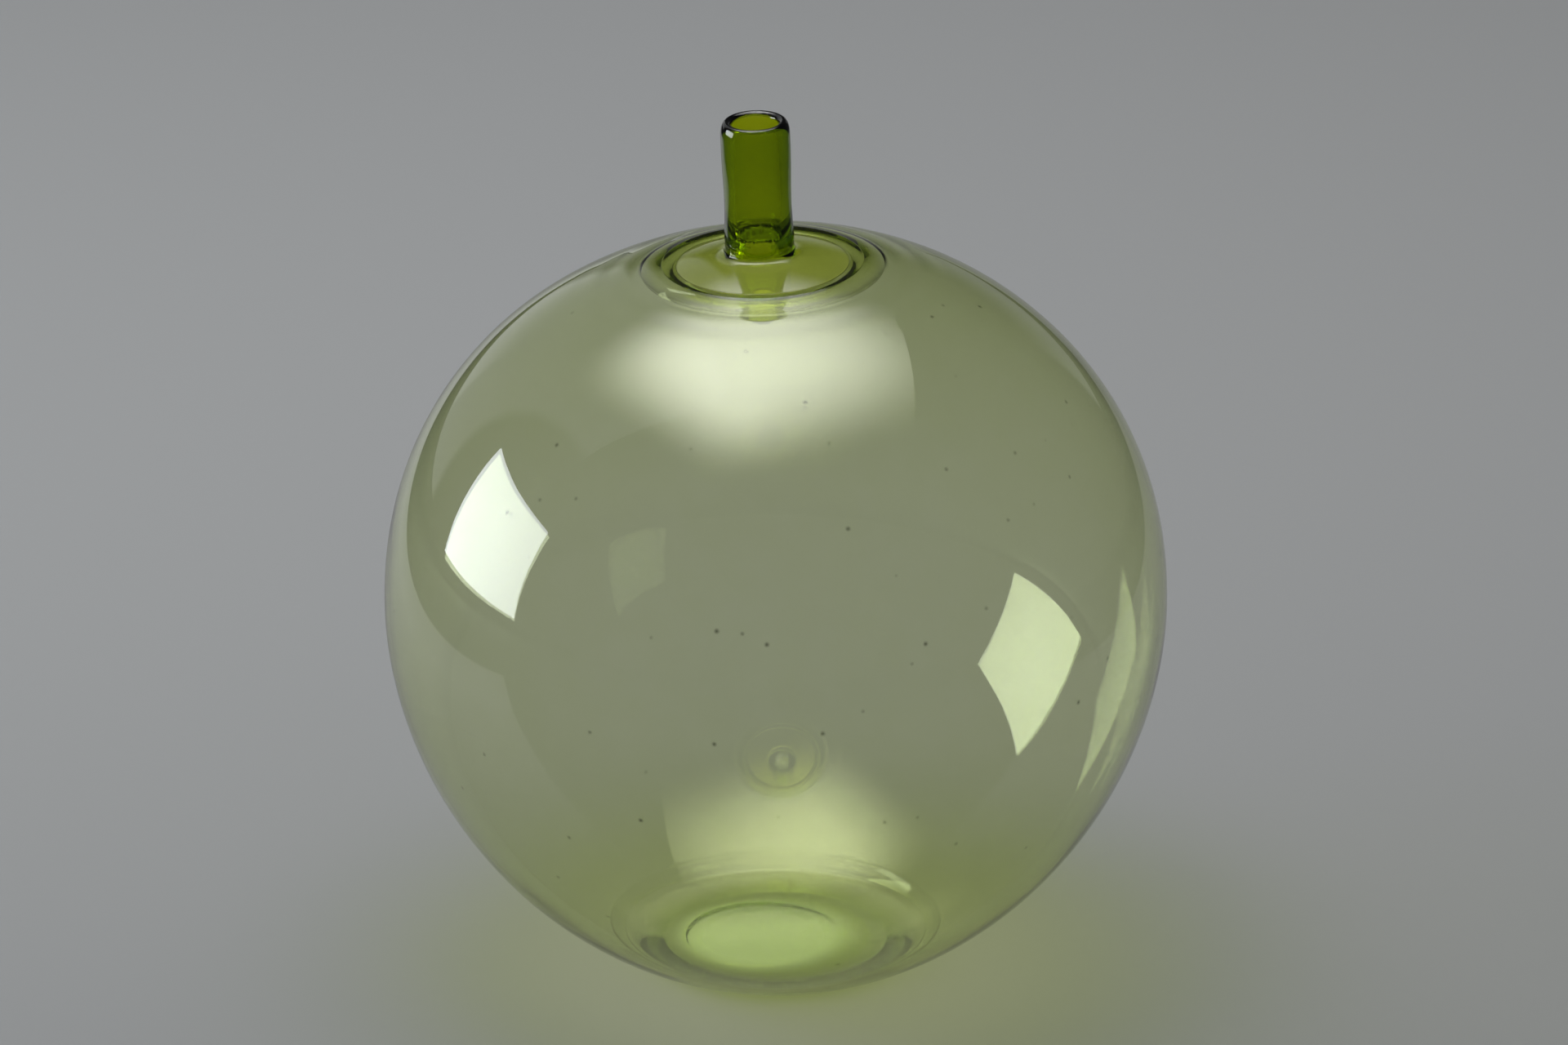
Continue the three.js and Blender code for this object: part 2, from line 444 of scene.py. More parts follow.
def clouds(tree: Tree, place: Socket, width: float, detail: float, roughness: float = 0.5) -> Socket:
    """Adds a cloudy pattern of shares round a half, with clouds of a width in millimetres."""
    inputs = {"Vector": place, "Scale": 1 / (width * MM), "Detail": detail, "Roughness": roughness}
    return add_node(tree, "ShaderNodeTexNoise", inputs).outputs[0]


def glowing(tree: Tree, colour: str, strength: object = 1.0) -> Node:
    """Adds a surface that gives off light of one colour."""
    return add_node(tree, "ShaderNodeEmission", {"Color": linear(colour), "Strength": strength})


def blend_colours(tree: Tree, share: Socket, first: object, second: object) -> Socket:
    """Adds a colour that runs from the first to the second as the share grows."""
    inputs = {0: share, 6: first, 7: second}
    return add_node(tree, "ShaderNodeMix", inputs, data_type="RGBA").outputs[2]


def blend_shaders(tree: Tree, share: Socket, first: Node, second: Node) -> Node:
    """Adds a shader that runs from the first to the second as the share grows."""
    inputs = {0: share, 1: first.outputs[0], 2: second.outputs[0]}
    return add_node(tree, "ShaderNodeMixShader", inputs)


def in_gloss(tree: Tree) -> Socket:
    """Adds a share that is 1 for what a glossy surface mirrors."""
    path = add_node(tree, "ShaderNodeLightPath")
    return maths(tree, "MULTIPLY", path.outputs["Is Reflection Ray"], path.outputs["Is Glossy Ray"])


def blank_material(name: str) -> bpy.types.Material:
    """Makes a material without nodes.

    Args:
        name: Its name.

    Returns:
        The material.
    """
    material = bpy.data.materials.new(name)
    material.use_nodes = True
    material.node_tree.nodes.clear()
    return material


@dataclass(frozen=True)
class GlassFinish:
    """Soda-lime glass, coloured in the melt and left smooth by the flame."""

    name: str
    tint: str  # colour of white light that has passed the depth
    depth: float
    ripple: float  # width of the slow waves that blowing leaves
    ripple_height: float
    stretch: float = 1.0  # how many times longer the waves are along the axis
    ior: float = 1.52
    headroom: float = 1.25  # keeps the colour of the absorption off black
    film: str = "#FBFCF6"  # faint film of handling on the surface
    smudge_width: float = 14.0  # of the smudges in the film
    smudge_levels: tuple[float, float] = (0.35, 0.75)  # where the film is clean, and where dullest
    smudge_roughness: float = 0.03
    worn_below: float = 0.0  # height above the standing plane under which the glass is scuffed
    scratch_width: float = 0.4
    scratch_roughness: float = 0.3
    ground_roughness: float = 0.0  # of the ground hollow
    grain_width: float = 0.5  # of the grain that grinding leaves
    ground_centre: float = -5.2  # place of the hollow's middle along X
    ground_radius: float = 31.0
    ground_top: float = 3.2  # the hollow lies lower than this, and the floor of the vase higher
    seed_spacing: float = 0.0  # about how far apart the seeds lie in space
    seed_radius: float = 1.6
    # Painted shade: seeds are painted dark in the surface colour.
    painted_seed_shade: str = "#2E3220"  # a seed bends light away and so reads dark

    def absorption(self) -> tuple[tuple[float, float, float, float], float]:
        """Works out the absorption that gives the tint.

        Returns:
            Colour and density of the absorption, in metres.
        """
        taken = [-math.log(c) / (self.depth * MM) for c in linear(self.tint)[:3]]
        density = max(taken) * self.headroom
        red, green, blue = (1 - t / density for t in taken)
        return (red, green, blue, 1.0), density

    def material(self) -> bpy.types.Material:
        """Builds the material.

        Returns:
            Clear glass with a coloured body, slow ripples, a faint film and, on some, seeds painted
            dark as shade.
        """
        material = blank_material(self.name)
        tree = material.node_tree
        place = add_node(tree, "ShaderNodeTexCoord").outputs["Object"]
        stretched = {"Vector": place, "Scale": (1, 1, 1 / self.stretch)}
        drawn = add_node(tree, "ShaderNodeMapping", stretched).outputs[0]
        waves = clouds(tree, drawn, self.ripple, detail=1.0, roughness=0.4)
        height = self.ripple_height * MM
        bump = add_node(tree, "ShaderNodeBump", {"Height": waves, "Strength": 1.0, "Distance": height})
        smudges = clouds(tree, place, self.smudge_width, detail=4.0, roughness=0.6)
        polish = graded(tree, smudges, self.smudge_levels, (0.0, self.smudge_roughness))
        if self.ground_roughness:
            polish = self.dulled(tree, place, polish)
        film = blend_colours(tree, smudges, linear("#FFFFFF"), linear(self.film))
        # Painted shade: each seed is a dark spot in the surface colour.
        if self.seed_spacing:
            scale = 1 / (self.seed_spacing * MM)
            nearest = add_node(tree, "ShaderNodeTexVoronoi", {"Vector": place, "Scale": scale})
            seed = fade(tree, nearest.outputs["Distance"], 0.0, self.seed_radius * MM * scale)
            film = blend_colours(tree, seed, film, linear(self.painted_seed_shade))
        looks = {"Base Color": film, "Roughness": polish, "Normal": bump.outputs[0]}
        glass = {"IOR": self.ior, "Transmission Weight": 1.0, **looks}
        surface = add_node(tree, "ShaderNodeBsdfPrincipled", glass)
        # Lamps and the light that the floor sends back pass straight through the surface, so the vase
        # throws a pale green shadow as the real one does.
        path = add_node(tree, "ShaderNodeLightPath")
        onward = maths(tree, "MAXIMUM", path.outputs["Is Shadow Ray"], path.outputs["Is Diffuse Ray"])
        clear = add_node(tree, "ShaderNodeBsdfTransparent")
        mixed = blend_shaders(tree, onward, surface, clear).outputs[0]
        colour, density = self.absorption()
        body = add_node(tree, "ShaderNodeVolumeAbsorption", {"Color": colour, "Density": density})
        add_node(tree, "ShaderNodeOutputMaterial", {"Surface": mixed, "Volume": body.outputs[0]})
        return material

    def dulled(self, tree: Tree, place: Socket, polish: Socket) -> Socket:
        """Dulls the glass where it stands on the table, and in the hollow up to its sharp edge.

        Args:
            tree: Node tree of the material.
            place: Place on the piece.
            polish: Roughness of the glass everywhere else.

        Returns:
            Roughness of the glass.
        """
        height = add_node(tree, "ShaderNodeSeparateXYZ", {"Vector": place}).outputs["Z"]
        worn = fade(tree, height, 0.0, self.worn_below * MM)
        scratches = clouds(tree, place, self.scratch_width, detail=2.0)
        scuff = maths(tree, "MULTIPLY", worn, scratches)
        scuffed = maths(tree, "MULTIPLY_ADD", scuff, self.scratch_roughness, polish)
        centred = {"Location": (-self.ground_centre * MM, 0, 0), "Scale": (1, 1, 0)}
        from_middle = add_node(tree, "ShaderNodeMapping", {"Vector": place, **centred})
        radius = length_of(tree, from_middle.outputs[0])
        across = maths(tree, "LESS_THAN", radius, self.ground_radius * MM)
        below = maths(tree, "LESS_THAN", height, self.ground_top * MM)
        grain = clouds(tree, place, self.grain_width, detail=3.0)
        dull = maths(tree, "MULTIPLY_ADD", grain, self.ground_roughness, self.ground_roughness)
        return maths(tree, "MULTIPLY_ADD", maths(tree, "MULTIPLY", across, below), dull, scuffed)


# Blown thin: clear to look through and yellow-green edge on, with slow waves that bend the lamps. Its
# seeds are drawn wider than real ones, so that they show.
PALE_GLASS = GlassFinish(
    "pale_green_glass_blown",
    tint="#E6EDC0",
    depth=5.8,
    ripple=45.0,
    ripple_height=0.10,
    seed_spacing=26.0,
)
# Blown thick and ground: a soft pale disc inside a scuffed standing ring. Its grain and its scratches
# are drawn coarser than real ones, so that they show.
BASE_GLASS = GlassFinish(
    "pale_green_glass_ground",
    tint="#E7EFBC",
    depth=5.8,
    ripple=18.0,
    ripple_height=0.08,
    worn_below=0.4,
    ground_roughness=0.12,
)
# Laid on hot and tooled flat: an olive edge with short uneven glints.
SEAM_GLASS = GlassFinish(
    "olive_glass_tooled", tint="#CFDB7C", depth=5.0, ripple=9.0, ripple_height=0.05
)
# Blown thick: a strong yellow-green that glows under the light from above.
CROWN_GLASS = GlassFinish(
    "olive_glass_blown", tint="#E7F170", depth=5.0, ripple=12.0, ripple_height=0.05
)
# Drawn out hot: fine waves along the tube, which break its dark green into upright streaks.
STEM_GLASS = GlassFinish(
    "dark_green_glass_drawn",
    tint="#C2D11C",
    depth=5.0,
    ripple=4.0,
    ripple_height=0.03,
    stretch=9.0,
)


@dataclass
class Globe:
    """The blown bubble, open at the crown above and at the base pad below."""

    form: VaseForm
    sides: int = 192
    belly_steps: int = 96
    lean_clear: float = 8.0  # the lean is whole from this far below the mouth
    lean_blend: float = 36.0  # and begins this much further down
    wall_wave: float = 55.0  # width of the slow changes in the wall's thickness
    wall_drift: float = 0.10  # how much the thickness changes
    wall_blend: float = 25.0  # the changes grow over this much from each joint
    fold_width: float = 13.0  # of each slow ring that joining the crown left round the mouth
    fold_height: float = 0.18  # shows only in how the rings bend a light
    fold_reach: float = 44.0  # the rings die out this far from the mouth

    def outline(self) -> Outline:
        """Draws the wall.

        Returns:
            The outline, up its outer side and down its inner side.
        """
        form = self.form
        pad_inner = form.pad_radius + form.pad_scarf
        mouth_inner = form.mouth_radius + form.mouth_scarf
        inner_radius = form.globe_radius - form.side_wall
        return [
            *form.lower_outside.run(form.pad_radius, form.globe_radius, self.belly_steps),
            *form.upper_outside.run(form.globe_radius, form.mouth_radius, self.belly_steps),
            *form.upper_inside.run(mouth_inner, inner_radius, self.belly_steps),
            *form.lower_inside.run(inner_radius, pad_inner, self.belly_steps),
        ]

    def uneven(self, place: Vector) -> Vector:
        """Lets the inner surface wander, as a blown wall does, and leaves the outer one true.

        Args:
            place: A place on the wall.

        Returns:
            Its new place.
        """
        form = self.form
        domes, joint = (form.lower_outside, form.lower_inside), form.pad_radius
        if place.z > 0:
            domes, joint = (form.upper_outside, form.upper_inside), form.mouth_radius
        radius = math.hypot(place.x, place.y)
        from_outer, from_inner = (
            abs((radius / dome.radius) ** dome.fullness + (place.z / dome.rise) ** dome.fullness - 1)
            for dome in domes
        )
        if from_inner > from_outer:
            return place
        edge = smoothstep(radius, joint, joint + self.wall_blend)
        drift = noise.noise(place / self.wall_wave) * self.wall_drift * edge
        return place * (1 - drift / place.length)

    def folded(self, place: Vector) -> Vector:
        """Lets the outer surface roll in slow rings round the mouth.

        Args:
            place: A place on the wall.

        Returns:
            Its new place.
        """
        dome = self.form.upper_outside
        radius = math.hypot(place.x, place.y)
        outward = radius - self.form.mouth_radius
        if place.z <= 0 or outward <= 0:
            return place
        if abs(place.z - dome.height_at(radius)) >= self.form.side_wall / 2:
            return place
        share = smoothstep(outward, 0, self.fold_width) * (1 - smoothstep(outward, 0, self.fold_reach))
        rise = self.fold_height * share * math.sin(math.tau * outward / self.fold_width)
        return place * (1 + rise / place.length)

    def leaning(self, place: Vector) -> Vector:
        """Leans the shoulder with the crown and leaves the belly upright."""
        full = self.form.mouth_height - self.lean_clear
        return self.form.lean(place, smoothstep(place.z, full - self.lean_blend, full))

    def build(self) -> Piece:
        """Blows the globe.

        Returns:
            The piece, joined to the frame.
        """
        piece = turned("blown_globe", self.outline(), self.sides)
        for rule in (self.uneven, self.folded, self.leaning):
            reshape(piece, rule)
        finish_piece(piece, self.form, PALE_GLASS)
        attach(piece, BODY)
        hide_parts("globe")
        return piece


@dataclass
class BasePad:
    """The thick bottom, with its standing ring and its ground hollow."""

    form: VaseForm
    hollow_radius: float = 31.0
    hollow_offset: float = 5.2  # how far left of the middle it was ground
    hollow_depth: float = 1.7
    hollow_lift: float = 0.8  # height of the hollow's edge above the standing plane
    hollow_wall: float = 5.8  # glass over the hollow
    ring_inner: float = 39.5  # of the standing ring
    floor_edge: float = 61.1  # the floor is the globe's inner surface down to here
    floor_turn: float = 6.0  # it follows the wall's slope this much further
    floor_rise: float = 1.0  # and rises this much over the hollow
    sides: int = 160

    @property
    def hollow_top(self) -> float:
        """Height of the middle of the ground hollow."""
        return self.form.foot_height + self.hollow_lift + self.hollow_depth

    def outline(self) -> Outline:
        """Draws the pad.

        Returns:
            The outline, from the axis out along the underside and back in along the floor of the vase.
        """
        form = self.form
        edge = form.pad_radius + FUSE
        half = self.hollow_radius / 2
        rim = (self.hollow_radius, form.foot_height + self.hollow_lift)
        to_ring = ((self.hollow_radius + self.ring_inner) / 2, form.foot_height)
        floor = form.lower_inside
        inward = floor.ahead(self.floor_edge, self.floor_turn)
        floor_height = self.hollow_top + self.hollow_wall
        over_hollow = (self.hollow_radius, floor_height - self.floor_rise)
        return [
            *bend((0, self.hollow_top), (half, self.hollow_top), rim, 24),
            *bend(rim, to_ring, (self.ring_inner, form.foot_height), 10),
            *form.lower_outside.run(form.standing_radius, edge, 18),
            *floor.run(edge + form.pad_scarf, self.floor_edge, 8),
            *bend(floor.point_at(self.floor_edge), inward, over_hollow, 24),
            *bend(over_hollow, (half, floor_height), (0, floor_height), 14),
        ]

    def off_centre(self, place: Vector) -> Vector:
        """Shifts the ground hollow to the left under the floor of the vase.

        Args:
            place: A place on the pad.

        Returns:
            Its new place.
        """
        underside = place.z < self.hollow_top + self.hollow_wall / 2
        radius = math.hypot(place.x, place.y)
        share = 1 - smoothstep(radius, self.hollow_radius, self.ring_inner)
        return place - Vector((self.hollow_offset * share * underside, 0, 0))

    def build(self) -> Piece:
        """Makes the pad.

        Returns:
            The piece, joined to the frame.
        """
        piece = turned("ground_base", self.outline(), self.sides)
        reshape(piece, self.off_centre)
        finish_piece(piece, self.form, BASE_GLASS)
        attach(piece, BODY)
        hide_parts("base_pad")
        return piece


@dataclass
class Crown:
    """The domed disc round the neck, and the ring that joins it to the globe."""

    form: VaseForm
    seam_round: float = 0.3  # rounding on each side of the seam
    seam_under: float = 0.15  # the same on the inner side
    seam_scarf: float = 2.0  # the seam runs this much outwards on its way down
    rim_wall: float = 3.8  # glass at the seam
    throat_wall: float = 3.9  # glass round the throat
    bulge: float = 0.6  # how far the disc swells above a straight cone
    throat_radius: float = 7.6
    collar_height: float = 9.5  # of the collar's torn edge above the land
    throat_top: float = 4.5  # above the land, where the throat is down to its bore
    top_turn: float = 1.6  # the ring's top follows the globe's slope this far in
    under_turn: float = 2.0  # the same on the inner side
    sweep_spread: float = 1.8  # how many times wider the sweep is than high
    torn: float = 1.1  # how far the collar's torn edge wanders
    torn_pace: float = 5.0  # how fast it wanders on the way round
    fine_tears: tuple[float, float] = (3.1, 0.6)  # pace and share of the finer tears in it
    torn_sink: float = 0.6  # how much more they reach down than up
    sides: int = 144

    @property
    def sweep_radius(self) -> float:
        """Distance from the axis at which the disc begins to sweep up to the tube."""
        return self.form.tube_radius + self.form.sweep * self.sweep_spread

    @property
    def bottom(self) -> float:
        """Height of the inner side at the seam."""
        return self.form.seam_height - self.rim_wall

    def seam_side(self, radius: float) -> Outline:
        """Gives the slanting stretch at the seam, where the ring and the disc melted together."""
        top = self.form.seam_height - self.seam_round
        return [(radius + self.seam_scarf, self.bottom + self.seam_under), (radius, top)]

    def ring_outline(self) -> Outline:
        """Draws the ring.

        Returns:
            The outline, from the globe's mouth in to the seam and back under.
        """
        form = self.form
        edge = form.mouth_radius + FUSE
        inner = form.upper_inside.point_at(form.mouth_radius)
        outer = form.upper_outside.point_at(edge)
        over = form.upper_outside.ahead(edge, self.top_turn)
        under = form.upper_inside.ahead(form.mouth_radius, self.under_turn)
        low, high = self.seam_side(form.seam_radius)
        corner = form.seam_radius + self.seam_round
        return [
            *form.upper_inside.run(form.mouth_radius, edge + form.mouth_scarf, 6),
            *bend(outer, over, (corner, form.seam_height), 12),
            *quarter((corner, form.seam_height), high, Leaves.LEVEL, 6),
            low,
            *bend((low[0] + self.seam_under, self.bottom), under, inner, 12),
        ]

    def disc_outline(self) -> Outline:
        """Draws the disc.

        Returns:
            The outline, from the seam in to the collar and back down the throat.
        """
        form = self.form
        rim = form.seam_radius + FUSE
        low, high = self.seam_side(rim)
        corner = rim - self.seam_round
        collar = form.bore_radius + FUSE
        collar_top = form.land_height + self.collar_height
        collar_wall = collar - self.throat_radius
        shoulder = collar_top - collar_wall / 2
        tip = (collar - collar_wall / 2, collar_top)
        middle = (self.sweep_radius + rim) / 2
        crest = (middle, form.seam_height + form.crown_rise / 2 + self.bulge)
        land = (self.sweep_radius, form.land_height)
        under = (self.sweep_radius, form.land_height - self.throat_wall)
        slope = (land[1] - crest[1]) / (middle - self.sweep_radius)
        below_crest = (middle, under[1] - slope * (middle - self.sweep_radius))
        to_tube = slope * (self.sweep_radius - form.tube_radius)
        foot = (form.tube_radius, form.tube_foot)
        to_throat = slope * (self.sweep_radius - self.throat_radius)
        throat = (self.throat_radius, form.land_height + self.throat_top)
        return [
            low,
            *quarter(high, (corner, form.seam_height), Leaves.UPRIGHT, 6),
            *bend((corner, form.seam_height), crest, land, 24),
            *bend(land, (form.tube_radius, form.land_height + to_tube), foot, 14),
            (collar, form.tube_foot),
            (collar, form.fused_top),
            *quarter((collar, shoulder), tip, Leaves.UPRIGHT, 4),
            *quarter(tip, (self.throat_radius, shoulder), Leaves.LEVEL, 4),
            *bend(throat, (self.throat_radius, under[1] + to_throat), under, 14),
            *bend(under, below_crest, (low[0] - self.seam_under, self.bottom), 20),
        ]

    def off_centre(self, place: Vector) -> Vector:
        """Shifts the neck's seat a little to the left, and tears the top edge of the collar.

        Args:
            place: A place on the disc.

        Returns:
            Its new place.
        """
        form = self.form
        radius = math.hypot(place.x, place.y)
        share = 1 - smoothstep(radius, self.sweep_radius, form.seam_radius - self.seam_round)
        torn = smoothstep(place.z, form.fused_top, form.land_height + self.collar_height)
        around = Vector((place.x, place.y, 0)).normalized() * self.torn_pace
        pace, strength = self.fine_tears
        wander = noise.noise(around) + strength * noise.noise(around * pace) - self.torn_sink
        return place + Vector((-form.stem_offset * share, 0, torn * self.torn * wander))

    def build(self) -> list[Piece]:
        """Makes the ring and the disc.

        Returns:
            Both pieces, joined to the frame.
        """
        ring = turned("joining_ring", self.ring_outline(), self.sides)
        disc = turned("crown_dome", self.disc_outline(), self.sides)
        reshape(disc, self.off_centre)
        for piece, finish, node, slot in (
            (ring, SEAM_GLASS, "seam_bead", "seam_glass"),
            (disc, CROWN_GLASS, "crown_disc", "crown_glass"),
        ):
            reshape(piece, self.form.lean)
            finish_piece(piece, self.form, finish)
            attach(piece, BODY)
            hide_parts(node)
        return [ring, disc]


@dataclass
class Stem:
    """The dark tube with its fire-polished lip."""

    form: VaseForm
    waist_radius: float = 13.8
    waist_at: float = 0.4  # share of the tube's height
    top_radius: float = 14.3
    straight_from: float = 0.85  # from this share on the tube keeps its width
    lip: float = 5.5  # height of its rounding
    steps: int = 40
    sides: int = 128

    def outline(self) -> Outline:
        """Draws the tube.

        Returns:
            The outline, from its foot up to the lip and down the bore.
        """
        form = self.form
        low, high = form.tube_foot - FUSE, form.lip_height - self.lip
        crest = ((self.top_radius + form.bore_radius) / 2, form.lip_height)
        in_bore = (form.bore_radius, form.lip_height - self.lip / 2)
        shares = [i / self.steps for i in range(self.steps + 1)]
        heights = [mix(form.tube_foot, high, share) for share in shares]
        return [
            (form.tube_radius, low),
            *((self.side_at(share), height) for share, height in zip(shares, heights)),
            *quarter((self.top_radius, high), crest, Leaves.UPRIGHT, 16),
            *quarter(crest, in_bore, Leaves.LEVEL, 14),
            *((form.bore_radius, height) for height in reversed(heights) if height > form.fused_top),
            (form.bore_radius, form.fused_top),
            (form.bore_radius, low),
        ]

    def side_at(self, share: float) -> float:
        """Gives the tube's outer radius: a slow waist, then straight.

        Args:
            share: Share of the tube's height.

        Returns:
            The radius there.
        """
        if share < self.waist_at:
            return mix(self.form.tube_radius, self.waist_radius, smoothstep(share, 0, self.waist_at))
        straightened = smoothstep(share, self.waist_at, self.straight_from)
        return mix(self.waist_radius, self.top_radius, straightened)

    def build(self) -> Piece:
        """Draws the tube out.

        Returns:
            The piece, joined to the frame.
        """
        piece = turned("drawn_stem", self.outline(), self.sides)
        reshape(piece, lambda place: self.form.lean(place - Vector((self.form.stem_offset, 0, 0))))
        finish_piece(piece, self.form, STEM_GLASS)
        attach(piece, BODY)
        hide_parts("stem")
        return piece


@dataclass(frozen=True)
class Softbox:
    """A soft lamp, given by where it stands as seen from the middle of the vase.

    Its cloth is brightest at one spot and dims away from it, as on a real softbox.
    """

    name: str
    azimuth: float  # degrees from +Y towards +X
    elevation: float
    distance: float  # metres, as are the width and height
    width: float
    height: float
    brightness: float  # at the spot; 1 is as bright as white paper in this light
    edge_brightness: float
    spot: tuple[float, float]  # place of the spot as shares of the width and height
    reach: tuple[float, float]  # metres from the spot to where the cloth is dimmest, each way
    colour: str = "#FFFFFF"
    dim_from: float = 1.0  # share of the width past which the cloth dims away

    def build(self, target: Vector) -> bpy.types.Object:
        """Hangs the lamp so that it faces the vase.

        Args:
            target: Middle of the vase.

        Returns:
            The lamp.
        """
        azimuth, elevation = math.radians(self.azimuth), math.radians(self.elevation)
        level = math.cos(elevation)
        away = Vector((math.sin(azimuth) * level, math.cos(azimuth) * level, math.sin(elevation)))
        light = bpy.data.lights.new(self.name, "AREA")
        light.shape = "RECTANGLE"
        light.size, light.size_y = self.width, self.height
        light.energy = math.pi * self.width * self.height  # makes a strength of 1 as bright as white
        light.use_nodes = True
        self.shade(light.node_tree)
        lamp = bpy.data.objects.new(self.name, light)
        bpy.context.scene.collection.objects.link(lamp)
        lamp.location = target + away * self.distance
        lamp.rotation_euler = (-away).to_track_quat("-Z", "Y").to_euler()
        lamp.visible_camera = False
        return lamp

    def shade(self, tree: Tree) -> None:
        """Dims the cloth away from its spot.

        Args:
            tree: Node tree of the lamp.
        """
        tree.nodes.clear()
        across, along = self.width / self.reach[0], self.height / self.reach[1]
        spread = add_node(tree, "ShaderNodeNewGeometry").outputs["Parametric"]
        from_spot = (-self.spot[0] * across, -self.spot[1] * along, 0)
        inputs = {"Vector": spread, "Location": from_spot, "Scale": (across, along, 0)}
        place = add_node(tree, "ShaderNodeMapping", inputs)
        away = length_of(tree, place.outputs[0])
        levels = (self.brightness, self.edge_brightness)
        level = graded(tree, away, (0.0, 1.0), levels, "SMOOTHERSTEP")
        if self.dim_from < 1:
            side = add_node(tree, "ShaderNodeSeparateXYZ", {"Vector": spread}).outputs["X"]
            level = maths(tree, "MULTIPLY", level, fade(tree, side, self.dim_from, 1.0))
        glow = glowing(tree, self.colour, level)
        add_node(tree, "ShaderNodeOutputLight", {"Surface": glow.outputs[0]})


OVERHEAD_SOFTBOX = Softbox(
    "overhead_softbox",
    azimuth=-20,
    elevation=78,
    distance=1.7,
    width=2.1,
    height=2.4,
    brightness=6.8,
    edge_brightness=0.0,
    spot=(0.64, 0.5),
    reach=(1.95, 1.35),
    dim_from=0.6,
)
LEFT_WINDOW = Softbox(
    "left_window",
    azimuth=-84,
    elevation=11.5,
    distance=2.0,
    width=1.25,
    height=0.9,
    brightness=8.2,
    edge_brightness=7.0,
    spot=(0.6, 0.7),
    reach=(1.0, 1.0),
    colour="#F0F6FF",
)


